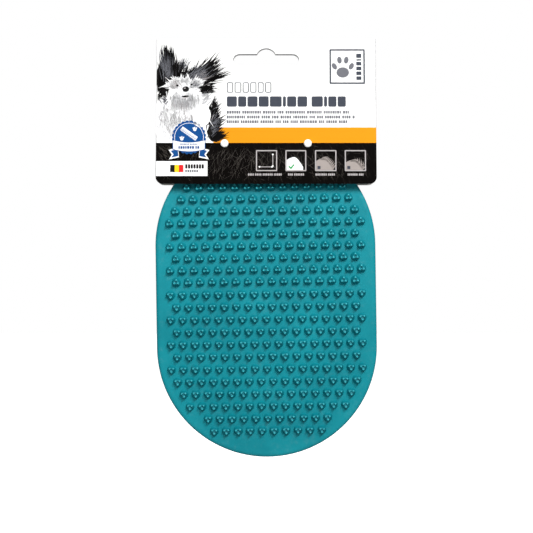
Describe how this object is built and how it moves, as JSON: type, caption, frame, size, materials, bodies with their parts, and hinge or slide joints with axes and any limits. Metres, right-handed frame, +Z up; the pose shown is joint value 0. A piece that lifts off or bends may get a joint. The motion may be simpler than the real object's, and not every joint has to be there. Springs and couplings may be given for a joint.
{
  "type": "rubber grooming mitt",
  "caption": "Oval rubber grooming mitt with staggered three-point nubs and a hand strap, pinned to a folded card with a hang slot by snap fasteners.",
  "frame": {"origin": "top of the card's hang slot, where a display peg bears", "axes": "+Z up along the card and the mitt, the nubs and the printed panel face -Y, +X to the right seen from the front"},
  "size_m": [0.1308, 0.0308, 0.2459],
  "materials": {
    "mitt_rubber": "satin moulded rubber, teal",
    "printed_card": "coated white card with print",
    "white_plastic": "white moulded plastic"
  },
  "bodies": {
    "mitt_and_card": {"nub_pad": "mitt_rubber", "hand_strap": "mitt_rubber", "card_front_panel": "printed_card"},
    "card_back": {"card_back_panel": "printed_card"},
    "stud_left": {"fastener_stud_left": "white_plastic"},
    "stud_right": {"fastener_stud_right": "white_plastic"},
    "cap_left": {"fastener_cap_left": "white_plastic"},
    "cap_right": {"fastener_cap_right": "white_plastic"}
  },
  "joints": [
    {"name": "card_back_swing", "type": "hinge", "parent": "mitt_and_card", "child": "card_back", "pos_m": [0, 0, 0.005], "axis": [1, 0, 0], "range_deg": [0, 165]},
    {"name": "stud_left_pull", "type": "slide", "parent": "mitt_and_card", "child": "stud_left", "axis": [0, -1, 0], "range_m": [0, 0.014]},
    {"name": "stud_right_pull", "type": "slide", "parent": "mitt_and_card", "child": "stud_right", "axis": [0, -1, 0], "range_m": [0, 0.014]},
    {"name": "cap_left_pull", "type": "slide", "parent": "card_back", "child": "cap_left", "axis": [0, 1, 0], "range_m": [0, 0.008]},
    {"name": "cap_right_pull", "type": "slide", "parent": "card_back", "child": "cap_right", "axis": [0, 1, 0], "range_m": [0, 0.008]}
  ]
}
